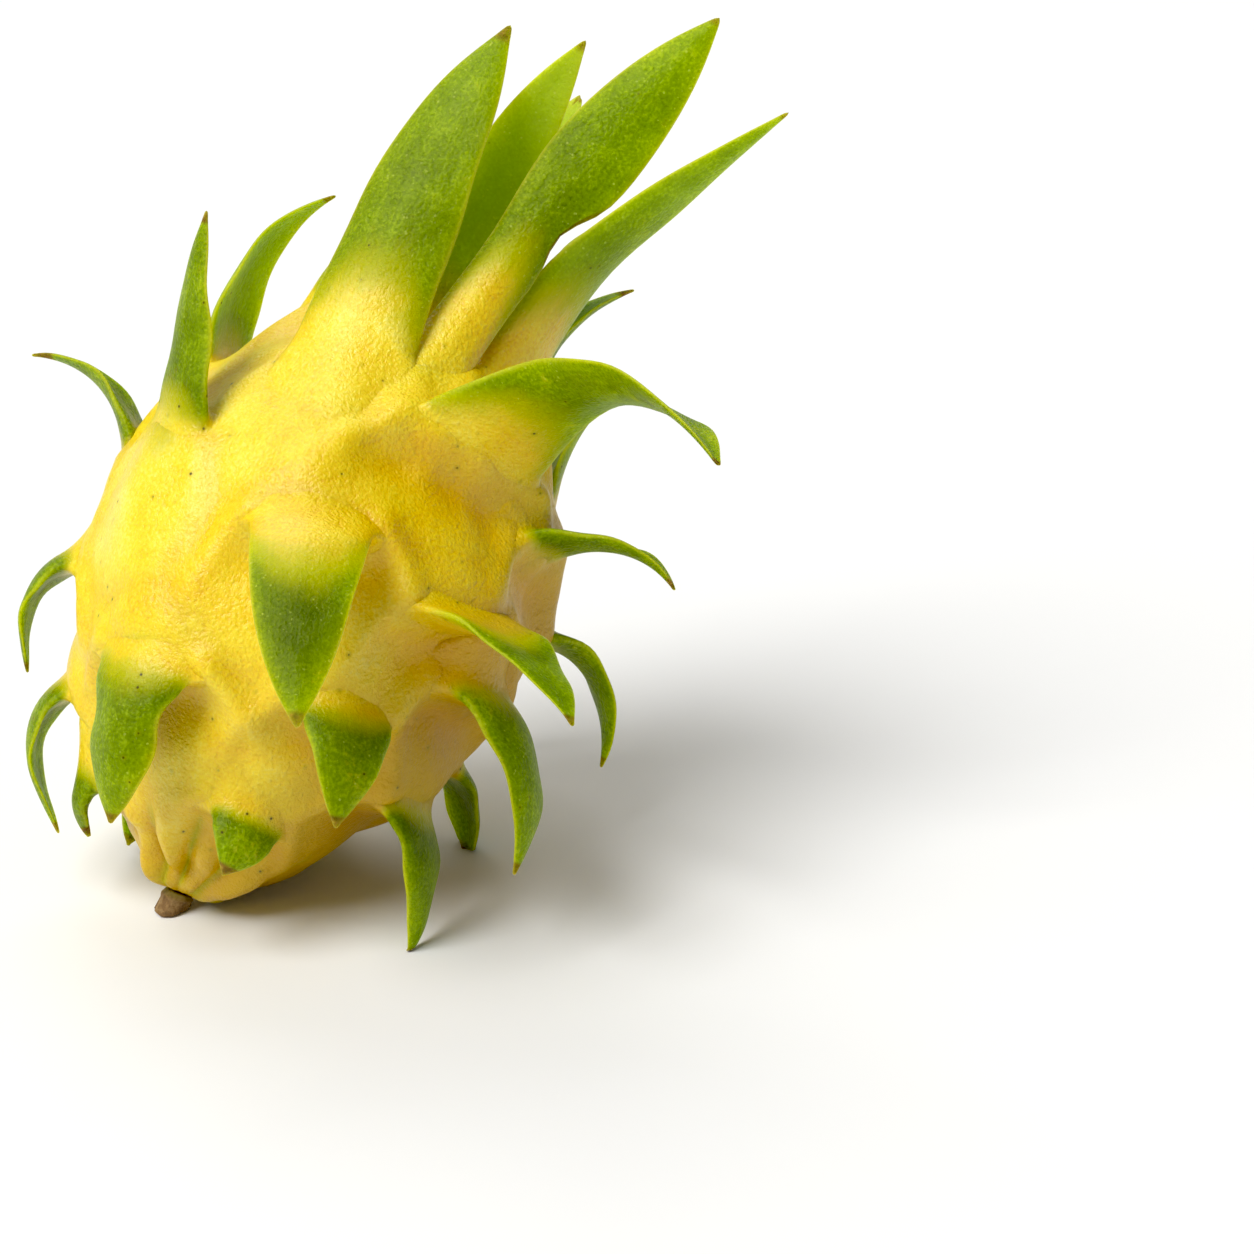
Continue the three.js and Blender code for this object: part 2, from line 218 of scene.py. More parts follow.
def bare_skin(at, turn):
    """The smooth skin's points, outward, crownward and sideways directions at distances and turns."""
    at, turn = np.broadcast_arrays(np.asarray(at, float), np.asarray(turn, float))
    height, radius = (np.interp(at, WALKED, CURVE[:, i]) for i in (0, 1))
    rise, spread = (np.interp(at, WALKED, SLOPE[:, i]) for i in (0, 1))
    length = np.hypot(rise, spread)
    rise, spread = rise / length, spread / length
    sin, cos, none = np.sin(turn), np.cos(turn), np.zeros_like(turn)
    point = np.stack([sin * radius, -cos * radius, height], -1)
    out = np.stack([sin * rise, -cos * rise, -spread], -1)
    up = np.stack([sin * spread, -cos * spread, rise], -1)
    side = np.stack([cos, sin, none], -1)
    return point, out, up, side


class Scale:
    """One scale: its root on the skin and the way its blade runs."""

    def __init__(self, name, at, turn, long, wide, lift, veer, more):
        self.name, self.at, self.long, self.wide, self.lift, self.veer = name, at, long, wide, lift, veer
        for way, value in {**PLAIN_SCALE, **more}.items():
            setattr(self, way, value)
        self.point, self.out, self.up, self.side = bare_skin(at, math.radians(turn))
        self.droops = lift[1] < 45
        self.inside = at > RIM_START
        walk = [self.point]
        for i in range(WALK_STEPS):
            walk.append(walk[-1] + self.directions((i + 0.5) / WALK_STEPS)[0] * long / WALK_STEPS)
        self.walk = np.array(walk)
        self.seed = sum(ord(letter) * (i + 3) for i, letter in enumerate(name)) % 97

    def lift_at(self, t):
        """The lift at a share of the length, running smoothly through root, middle and tip."""
        root, middle, tip = self.lift
        return math.radians(root * (1 - t) * (1 - 2 * t) + 4 * middle * t * (1 - t) + tip * t * (2 * t - 1))

    def directions(self, t):
        """The blade's directions at a share of its length: along it, across it, out of its inner face."""
        lift = self.lift_at(t)
        veer = math.radians(self.veer[0] + (self.veer[1] - self.veer[0]) * t)
        rise = self.up * math.cos(veer) + self.side * math.sin(veer)
        along = self.out * math.cos(lift) + rise * math.sin(lift)
        face = rise * math.cos(lift) - self.out * math.sin(lift)
        across = self.side * math.cos(veer) - self.up * math.sin(veer)
        return along, across, face

    def middle(self, t):
        """The middle of the blade at a share of its length."""
        place = np.linspace(0, 1, len(self.walk))
        return np.array([np.interp(t, place, self.walk[:, i]) for i in range(3)])

    def local(self, points):
        """How far points lie to the side, crownward and outward of the root."""
        away = points - self.point
        lean = math.radians(self.veer[0])
        x, y, z = away @ self.side, away @ self.up, away @ self.out
        return x * math.cos(lean) - y * math.sin(lean), y * math.cos(lean) + x * math.sin(lean), z

    def section(self, t, x, y):
        """Points of the blade at share t for points x, y on the unit circle."""
        along, across, face = self.directions(t)
        from_root = math.exp(-t * self.long / ROOT_FADE)
        taper = max(TIP_SHARE, (1 - t**self.taper) ** 0.95)
        waist = 1 - self.waist * math.sin(math.pi * min(1, t / 0.7)) ** 2
        stalk = 1 - self.stalk * (1 - smooth(t, 0.28, 0.62))
        half_wide = self.wide / 2 * taper * waist * stalk * (1 + ROOT_FLARE * from_root)
        bite = self.bite * np.maximum(x, 0) ** 2 * math.exp(-(((t - BITE_PLACE) / 0.04) ** 2))
        aside = half_wide * x * (1 - bite)
        half_thick = (BLADE_HALF_THICK + ROOT_HALF_THICK * from_root) * taper**0.35
        blade = np.abs(y) ** 0.8 * np.sign(y) * half_thick
        cup = self.cup * half_wide * (x * x - 0.4) * (1 - from_root)
        wave = np.sin(9 * t + self.seed) + 0.6 * np.sin(17 * t + 2 * x + self.seed)
        wave = wave * WAVE_SHARE * self.wide * smooth(t, 0.1, 0.4) * taper * x**2
        keel = -KEEL_DEEP * np.exp(-((x / 0.16) ** 2)) * (1 - from_root) * taper * np.sign(self.cup)
        lie = (blade + cup + wave + keel)[:, None] * face
        drop = aside**2 * from_root / (2 * math.hypot(self.point[0], self.point[1]))
        rip = np.sin(6 * x + self.seed) + 0.6 * np.sin(15 * x) + 0.4 * np.sin(27 * x)
        rip = rip * self.torn * smooth(t, 0.55, 1)
        aside_and_down = aside[:, None] * across - drop[:, None] * self.out
        return self.middle(t) + aside_and_down + lie + rip[:, None] * along


SCALE_LIST = [Scale(name, *facts) for name, facts in SCALES.items()]


def wavering(points, size, seed):
    """Smooth noise between -1 and 1 with bumps of about the given size in millimetres."""
    shift = Vector((seed, 2 * seed, 3 * seed))
    return np.array([noise.noise(Vector(point) / size + shift) for point in points])


def field_creases(point):
    """1 on the creases where the field of skin below one scale meets its neighbour's, 0 away from them."""
    nearest = np.full(point.shape[:-1] + (2,), 1e3)
    for scale in SCALE_LIST:
        x, y, z = scale.local(point)
        apart = np.sqrt(x**2 + (y + 13) ** 2 + z**2) * 20 / scale.wide
        nearest = np.sort(np.concatenate([nearest, apart[..., None]], -1), -1)[..., :2]
    return np.exp(-(((nearest[..., 1] - nearest[..., 0]) / 3.2) ** 2))


def stem_creases(at, turn):
    """1 in the middle of the creases between the folds round the stem end, 0 away from them."""
    away = np.abs(np.sin(FOLDS / 2 * turn + np.sin(2 * turn)))
    return np.exp(-((away / 0.4) ** 2) - ((at - 19) / 12) ** 2)


def relief_at_scale(scale, point):
    """How high the skin stands at points for one scale: its swelling, a ridge down each side, a hollow."""
    x, y, z = scale.local(point)
    towards = y if scale.droops else -y
    reach = np.where(towards > 0, SWELL_FAR, SWELL_NEAR)
    swell = SWELL_CROWN if scale.at > CROWN_START else SWELL
    across = x / (0.62 * scale.wide)
    height = swell * np.exp(-(across**2) - (towards / reach) ** 2 - (z / SWELL_FAR) ** 2)

    ridge, hollow = (2.9, 2.9) if scale.droops else (1.2, 0.5)
    near = np.exp(-((z / 16) ** 2))
    apart = 0.56 + 0.5 * np.clip(-y / 22, 0, 1) ** 0.75
    fade = smooth(y, -26, -4) * smooth(-y, -7, 0)
    for hand in (-1, 1):
        line = (x * hand - apart * scale.wide) / RIDGE_WIDE
        height += ridge * near * np.exp(-line * line) * fade
    height -= hollow * near * np.exp(-(across**4) - ((y + 8.5) / 6.5) ** 2)
    return height * min(1, scale.wide / FULL_WIDE)


def skin(at, turn):
    """The grown skin's points and outward directions: it swells to each scale and folds at the stem end."""
    point, out, _, _ = bare_skin(at, turn)
    height = sum(relief_at_scale(scale, point) for scale in SCALE_LIST)
    near_stem = np.exp(-(((at - 17) / 9) ** 2))
    height -= FOLD_DEEP * near_stem * (1 + np.cos(FOLDS * turn + 2 * np.sin(2 * turn)))
    height -= STEM_CREASE_DEEP * stem_creases(at, turn) + FIELD_CREASE_DEEP * field_creases(point)
    height += 0.8 * wavering(point, 19, 1.7) + 0.25 * wavering(point, 7, 4.1)
    crumpled = 3.0 * wavering(point, 9, 6.3) + 1.6 * wavering(point, 4.5, 2.9)
    height += crumpled * (1 - smooth(at, 14, 34))
    share = at / OUTLINE_LENGTH
    calm = smooth(share, 0, 0.06) * (1 - smooth(share, 0.9, 0.95))
    return point + out * (height * calm)[..., None], out


def place_under(points):
    """The distance along the outline and the turn of the skin below points near it."""
    radius = np.hypot(points[:, 0], points[:, 1])
    apart = (points[:, 2, None] - CURVE[::4, 0]) ** 2 + (radius[:, None] - CURVE[::4, 1]) ** 2
    return WALKED[::4][apart.argmin(1)], np.arctan2(points[:, 0], -points[:, 1])


def skin_tints(at, turn):
    """How green the bare skin is, and its painted shade: darker in the hollows under drooping scales and in
    the creases.
    """
    point, _, _, _ = bare_skin(at, turn)
    green = np.zeros(len(point))
    hollow = np.zeros(len(point))
    for scale in SCALE_LIST:
        x, y, z = scale.local(point)
        apart = np.sqrt((x / (0.6 * scale.wide)) ** 2 + (y / 9) ** 2 + (z / 9) ** 2)
        strength = (0.28 if scale.droops else 0.36) - 1.6 * scale.green
        green += np.clip(strength, 0.0, 0.5) * np.exp(-(apart**2))
        # Painted shade under each drooping scale and in the creases.
        under = np.exp(-((x / (0.55 * scale.wide)) ** 2) - ((y + 8) / 6) ** 2 - (z / 12) ** 2)
        hollow += under * scale.droops
    creases = stem_creases(at, turn)
    hollow += 0.9 * creases + 0.35 * field_creases(point)
    green += 0.45 * creases + 0.3 * np.exp(-(((at - 7) / 5) ** 2)) + 0.25 * smooth(at, 144, 152)
    return np.clip(green, 0, 0.75), np.clip(hollow, 0, 1)


# Modelling with Blender's own tools.

def deselect_all():
    for obj in bpy.context.selected_objects:
        obj.select_set(False)


def work_on(obj):
    deselect_all()
    obj.select_set(True)
    bpy.context.view_layer.objects.active = obj


def corners_of(obj):
    spots = np.empty(len(obj.data.vertices) * 3)
    obj.data.vertices.foreach_get("co", spots)
    return spots.reshape(-1, 3)


def set_corners(obj, spots):
    obj.data.vertices.foreach_set("co", np.asarray(spots, float).ravel())
    obj.data.update()


def set_marks(obj, **marks):
    """Stores numbers at the corners, which the materials read by name."""
    for name, values in marks.items():
        store = obj.data.attributes.get(name) or obj.data.attributes.new(name, "FLOAT", "POINT")
        store.data.foreach_set("value", np.asarray(values, float))


def outward(obj):
    work_on(obj)
    bpy.ops.object.mode_set(mode="EDIT")
    bpy.ops.mesh.select_all(action="SELECT")
    bpy.ops.mesh.normals_make_consistent(inside=False)
    bpy.ops.object.mode_set(mode="OBJECT")


def apply_subdivision(obj, levels):
    work_on(obj)
    finer = obj.modifiers.new("finer", "SUBSURF")
    finer.levels = finer.render_levels = levels
    bpy.ops.object.modifier_apply(modifier=finer.name)


def join(pieces, name):
    deselect_all()
    for piece in pieces:
        piece.select_set(True)
    bpy.context.view_layer.objects.active = pieces[0]
    bpy.ops.object.join()
    pieces[0].name = name
    pieces[0].data.name = name
    return pieces[0]


def finish_piece(obj, node, material, levels):
    """Moves a piece made in the fruit's frame to its place, smooths it and hands it over for a CAD node."""
    set_corners(obj, fruit_place(corners_of(obj)))
    apply_subdivision(obj, levels)
    set_corners(obj, pressed_on_table(corners_of(obj)))
    work_on(obj)
    bpy.ops.object.shade_smooth()
    obj.data.materials.clear()
    obj.data.materials.append(material)
    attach(obj, "root")
    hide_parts(node)
    return obj


def tube_blank(sides, rings, name):
    """A closed tube of unit radius, a unit between rings, extruded ring by ring and closed at both ends."""
    deselect_all()
    bpy.ops.mesh.primitive_circle_add(vertices=sides, radius=1, fill_type="NGON")
    blank = bpy.context.active_object
    blank.name = name
    bpy.ops.object.mode_set(mode="EDIT")
    bpy.ops.mesh.select_all(action="SELECT")
    for _ in range(rings):
        bpy.ops.mesh.extrude_region_move(TRANSFORM_OT_translate={"value": (0, 0, 1)})
    bpy.ops.object.mode_set(mode="OBJECT")
    outward(blank)
    return blank


def turns_and_edges(spots):
    """The turns round the axis of a blank's corners, and their distances from it."""
    return np.arctan2(spots[:, 0], -spots[:, 1]), np.hypot(spots[:, 0], spots[:, 1])


def round_points(turn, radius, height):
    """Points round the axis at turns, radii and heights."""
    return np.stack([np.sin(turn) * radius, -np.cos(turn) * radius, height], -1)


def copy_of(blank, name):
    piece = blank.copy()
    piece.data = blank.data.copy()
    piece.name = name
    bpy.context.scene.collection.objects.link(piece)
    return piece


def throw_away(obj):
    mesh = obj.data
    bpy.data.objects.remove(obj)
    bpy.data.meshes.remove(mesh)


# The scales: one blank tube, copied and shaped for each. Its first rings, the apron, run from the skin to
# the blade's start: each has its depth out of the skin and its share of the way.
BLADE_SIDES = 18
BLADE_RINGS = 14
BLADE_START = 7.0
APRON = [(-3.2, 0.0), (-0.3, 0.0), (0, 0.14), (0, 0.29), (0, 0.45), (0, 0.61), (0, 0.76), (0, 0.9)]
SCALE_RINGS = len(APRON) + BLADE_RINGS


def scale_foot(scale, x, y):
    """The oval on the skin where a scale's foot ends: its points, outward directions, the ways in from
    them along the skin, and their distances and turns. It is wider where the skin runs into the blade."""
    half_wide = scale.wide / 2 * 1.2 * (1 - scale.stalk)
    half_thick = (2.4 if scale.inside else 4.2) / max(0.5, math.cos(scale.lift_at(0)))
    margin = 0.2 if scale.inside else 1.8
    skinward = y if scale.droops else -y
    spread = margin + scale.apron * np.clip(skinward, 0, 1) + 0.9 * np.abs(x)
    lean = math.radians(scale.veer[0])
    rise = scale.up * math.cos(lean) + scale.side * math.sin(lean)
    across = scale.side * math.cos(lean) - scale.up * math.sin(lean)

    def oval(wider):
        aside, up = (half_wide + wider) * x, (half_thick + wider) * y
        return place_under(scale.point + aside[:, None] * across + up[:, None] * rise)

    inner, _ = skin(*oval(0))
    place = oval(spread)
    outer, out = skin(*place)
    sunk = 1.0 if scale.inside else 0.0 if scale.droops else 0.7
    outer = outer - sunk * out
    inward = inner - outer
    return outer, out, inward - (inward * out).sum(1)[:, None] * out, place


def shape_scale(scale, blank):
    """One scale: a copy of the blank whose rings become its foot in the skin and its blade."""
    piece = copy_of(blank, scale.name)
    spots = corners_of(piece)
    ring = np.rint(spots[:, 2]).astype(int)
    angle = np.arctan2(spots[:, 1], spots[:, 0])
    x, y = np.cos(angle), np.sin(angle)
    outer, out, leave, foot_place = scale_foot(scale, x, y)
    start = BLADE_START / scale.long
    start_along, _, _ = scale.directions(start)
    placed = np.empty_like(spots)
    along = np.zeros(len(spots))
    grown_out = np.ones(len(spots))
    for k in range(SCALE_RINGS):
        here = ring == k
        if k < len(APRON):
            depth, s = APRON[k]
            reach = scale.section(start, x[here], y[here])
            foot = outer[here] + depth * out[here]
            rising = outer[here] + 0.6 * leave[here]
            handle = np.minimum(0.45 * np.linalg.norm(reach - outer[here], axis=1), 0.7 * BLADE_START)
            arriving = reach - handle[:, None] * start_along
            placed[here] = (1 - s) ** 3 * foot + 3 * s * (1 - s) ** 2 * rising
            placed[here] += 3 * s * s * (1 - s) * arriving + s**3 * reach
            along[here] = start * s * s
            grown_out[here] = smooth(s, 0.1, 0.95)
        else:
            share = (k - len(APRON)) / (BLADE_RINGS - 1)
            t = start + (1 - start) * (1 - (1 - share) ** 1.25)
            placed[here] = scale.section(t, x[here], y[here])
            along[here] = t
    set_corners(piece, placed)
    mark_scale(scale, piece, x, along, start, grown_out, foot_place)
    return piece


def mark_scale(scale, piece, x, along, start, grown_out, foot_place):
    """Stores what a scale's look follows. At its foot it takes over the skin's green and painted shade
    there.
    """
    before_tip = (1 - along) * scale.long
    dry = 1 - smooth(before_tip, 0.35 * scale.dry, 1.3 * scale.dry)
    bitten = 4 * scale.bite * np.exp(-(((along - BITE_DRY_PLACE) / 0.07) ** 2)) * smooth(x, 0.75, 0.98)
    early = 0.16 * np.abs(x) ** 3 * smooth(along, 0, start)
    green = smooth(along + early, scale.green - 0.1, scale.green + scale.fade)
    # Painted shade darkens the heart of a scale that faces away from the light; a "shade" below 0 is
    # painted light that pales all of it.
    heart = np.exp(-(((along - 0.62) / 0.3) ** 2)) * (1 - 0.6 * x * x)
    shade = scale.shade * heart if scale.shade > 0 else np.full_like(along, scale.shade)
    # The skin's green and its painted shade in hollows and creases, taken over at the foot.
    skin_green, skin_painted_shade = skin_tints(*foot_place)
    set_marks(
        piece, green=green * grown_out + skin_green * (1 - grown_out), dry=np.maximum(dry, bitten),
        along=along * scale.long, across=x * scale.wide / 2, margin=x**6,
        hollow=skin_painted_shade * (1 - grown_out), blade=smooth(along, 0.5 * start, 2 * start), shade=shade,
    )


BODY_COLUMNS = 104
BODY_ROWS = 78


def body_piece():
    """The fruit's skin: a globe whose rings follow the outline, shaped by the scales it carries."""
    deselect_all()
    bpy.ops.mesh.primitive_uv_sphere_add(segments=BODY_COLUMNS, ring_count=BODY_ROWS, radius=1)
    body = bpy.context.active_object
    spots = corners_of(body)
    at = np.arccos(np.clip(-spots[:, 2], -1, 1)) / math.pi * OUTLINE_LENGTH
    turn = np.arctan2(spots[:, 0], -spots[:, 1])
    grown, _ = skin(at, turn)
    set_corners(body, grown)

    # The skin's green, and the painted shade of its hollows and creases.
    green, hollow = skin_tints(at, turn)
    none = np.zeros(len(spots))
    set_marks(
        body, green=green, dry=0.5 * smooth(at, 158, 166), along=at, across=none,
        margin=none, hollow=hollow, blade=none, shade=none,
    )
    return body


STUB_RINGS = 14
STUB_RADIUS = 2.7
STUB_GAP = 0.35


def stub_piece():
    """The cut stub of the stem: a ridged peg with a swollen collar, cut flat where it stands."""
    stub = tube_blank(28, STUB_RINGS, "cut_stem")
    spots = corners_of(stub)
    down = spots[:, 2] / STUB_RINGS
    turn, edge = turns_and_edges(spots)
    ribs = 0.12 * np.cos(3 * turn) + 0.05 * np.cos(8 * turn + 3 * down)
    ribs += 0.04 * np.cos(13 * turn - 2 * down)
    collar = 0.16 * np.exp(-(((down - 0.25) / 0.12) ** 2)) + 0.2 * down
    radius = STUB_RADIUS * (1 + ribs + collar) * edge * (1 - 0.06 * smooth(down, 0.93, 1.0))
    top = round_points(turn, radius, np.full_like(radius, -STUB_GAP))
    to_table = (top @ LEAN.T + STEM_END)[:, 2] / LEAN[2, 2]
    set_corners(stub, top - np.outer(to_table * down, (0, 0, 1)))
    set_marks(stub, along=down, end=smooth(down, 0.97, 1.0))
    return stub


FLOWER_WALL_RINGS = 14
FLOWER_RINGS = 22
FLOWER_RADIUS = 4
FLOWER_HEIGHT = 11.2
FLOWER_GAP = 0.4
STRANDS = 26
STRAND_RINGS = 12


def flower_piece():
    """The withered flower: a shrunken ragged cup in the crown's hollow, with its dry filaments."""
    floor = OUTLINE[-1][0] + FLOWER_GAP
    cup = tube_blank(42, FLOWER_RINGS, "flower_cup")
    spots = corners_of(cup)
    ring = spots[:, 2]
    turn, edge = turns_and_edges(spots)
    sunk = (ring - FLOWER_WALL_RINGS) / (FLOWER_RINGS - FLOWER_WALL_RINGS) * 0.75
    rise = np.where(ring <= FLOWER_WALL_RINGS, ring / FLOWER_WALL_RINGS, 1 - sunk)
    within = smooth(ring, 13.5, 15)
    lobes = 1 + (0.2 * np.cos(7 * turn) + 0.05 * np.cos(15 * turn + 5 * rise)) * rise
    radius = FLOWER_RADIUS * (0.72 + 0.26 * rise) * lobes * (1 - 0.24 * within) * edge
    ragged = 1 + rise * (0.14 * np.sin(3 * turn) + 0.07 * np.sin(11 * turn + 1))
    set_corners(cup, round_points(turn, radius, floor + FLOWER_HEIGHT * rise * ragged))
    set_marks(cup, along=rise, end=within)

    strand = tube_blank(6, STRAND_RINGS, "strand_blank")
    pieces = [cup]
    chance = np.random.default_rng(11)
    for i in range(STRANDS):
        piece = copy_of(strand, f"strand_{i}")
        spots = corners_of(piece)
        t = spots[:, 2] / STRAND_RINGS
        lean = chance.uniform(0, 2 * math.pi)
        root = chance.uniform(0.3, 1.9)
        splay = chance.uniform(0.2, 1.9)
        long = chance.uniform(6, 11)
        curl = chance.uniform(-1.2, 1.2)
        thick = 0.3 * (1 - 0.45 * t) + 0.22 * smooth(t, 0.88, 0.95)
        middle = round_points(lean + curl * t**2, root + splay * t**1.6, floor + 1.2 + long * t)
        set_corners(piece, middle + spots * np.stack([thick, thick, np.zeros_like(t)], -1))
        set_marks(piece, along=t, end=np.full_like(t, 0.4))
        pieces.append(piece)
    throw_away(strand)
    return join(pieces, "withered_flower")


# Materials.

def tone(red, green, blue):
    """A colour given by its 0 to 255 values, as light."""
    parts = (channel / 255 for channel in (red, green, blue))
    return tuple(c / 12.92 if c <= 0.04045 else ((c + 0.055) / 1.055) ** 2.4 for c in parts) + (1.0,)


class Value:
    """A number that varies over a surface: the output of a node, with arithmetic on it."""

    def __init__(self, finish, socket):
        self.finish, self.socket = finish, socket

    def _maths(self, operation, *values, clamp=False):
        settings = {"operation": operation, "use_clamp": clamp}
        return self.finish.node("ShaderNodeMath", settings, dict(enumerate(values)))

    def __add__(self, other):
        return self._maths("ADD", self, other)

    def __sub__(self, other):
        return self._maths("SUBTRACT", self, other)

    def __mul__(self, other):
        return self._maths("MULTIPLY", self, other)

    def __rsub__(self, other):
        return self._maths("SUBTRACT", other, self)

    __radd__ = __add__
    __rmul__ = __mul__

    def held(self):
        """Kept between 0 and 1."""
        return self._maths("MULTIPLY", self, 1.0, clamp=True)

    def step(self, low, high):
        """0 below low and 1 above high, with a soft step between."""
        settings = {"interpolation_type": "SMOOTHSTEP"}
        values = {"Value": self, "From Min": low, "From Max": high}
        return self.finish.node("ShaderNodeMapRange", settings, values, "Result")


class Finish:
    """A material: its Principled shaders and the nodes that feed them."""

    def __init__(self, name):
        self.material = bpy.data.materials.new(name)
        self.material.use_nodes = True
        self.tree = self.material.node_tree
        self.tree.nodes.remove(self.tree.nodes["Principled BSDF"])
        self.place = self.node("ShaderNodeTexCoord", {}, {}, "Object")

    def node(self, kind, settings, values, output=0):
        """Adds a node: its settings first, then the values or links of its sockets."""
        node = self.tree.nodes.new(kind)
        for name, value in settings.items():
            if name == "stops":
                ramp = node.color_ramp
                while len(ramp.elements) < len(value):
                    ramp.elements.new(0.5)
                for element, (position, colour) in zip(ramp.elements, value):
                    element.position, element.color = position, colour
            else:
                setattr(node, name, value)
        for socket, value in values.items():
            if isinstance(value, Value):
                self.tree.links.new(value.socket, node.inputs[socket])
            else:
                node.inputs[socket].default_value = value
        return Value(self, node.outputs[output])

    def mark(self, name):
        """A number stored at the piece's corners."""
        return self.node("ShaderNodeAttribute", {"attribute_name": name}, {}, "Fac")

    def speckle(self, scale, detail, rough, at=None, twist=0.0):
        """Soft noise around 0.5, its scale in bumps per metre, or per unit of the place given."""
        values = {"Vector": at or self.place, "Scale": scale, "Detail": detail, "Roughness": rough}
        values["Distortion"] = twist
        return self.node("ShaderNodeTexNoise", {}, values, "Fac")

    def cells(self, scale):
        """Distances to scattered points, in units of their spacing."""
        return self.node("ShaderNodeTexVoronoi", {}, {"Vector": self.place, "Scale": scale}, "Distance")

    def vector(self, x, y, z):
        return self.node("ShaderNodeCombineXYZ", {}, {"X": x, "Y": y, "Z": z})

    def ramp(self, value, *stops):
        """Colours that follow a value, given as stops: a value and its colour."""
        return self.node("ShaderNodeValToRGB", {"stops": stops}, {"Fac": value}, "Color")

    def mix(self, share, first, second):
        """The first colour, going over to the second by the share."""
        settings = {"data_type": "RGBA"}
        return self.node("ShaderNodeMix", settings, {0: share, 6: first, 7: second}, 2)

    def bump(self, height, distance, strength, under=None):
        """Relief of a height, of a given depth in metres, over the relief under it."""
        values = {"Height": height, "Distance": distance, "Strength": strength}
        if under:
            values["Normal"] = under
        return self.node("ShaderNodeBump", {}, values, "Normal")

    def surface(self, fixed, varying):
        """A Principled shader with fixed values, and values that vary over the surface."""
        shader = self.tree.nodes.new("ShaderNodeBsdfPrincipled")
        for socket, value in fixed.items():
            shader.inputs[socket].default_value = value
        for socket, value in varying.items():
            self.tree.links.new(value.socket, shader.inputs[socket])
        return Value(self, shader.outputs[0])

    def blend(self, share, first, second):
        """The first shader, going over to the second by the share."""
        return self.node("ShaderNodeMixShader", {}, {0: share, 1: first, 2: second})

    def shown(self, shader):
        self.tree.links.new(shader.socket, self.tree.nodes["Material Output"].inputs["Surface"])
        return self.material


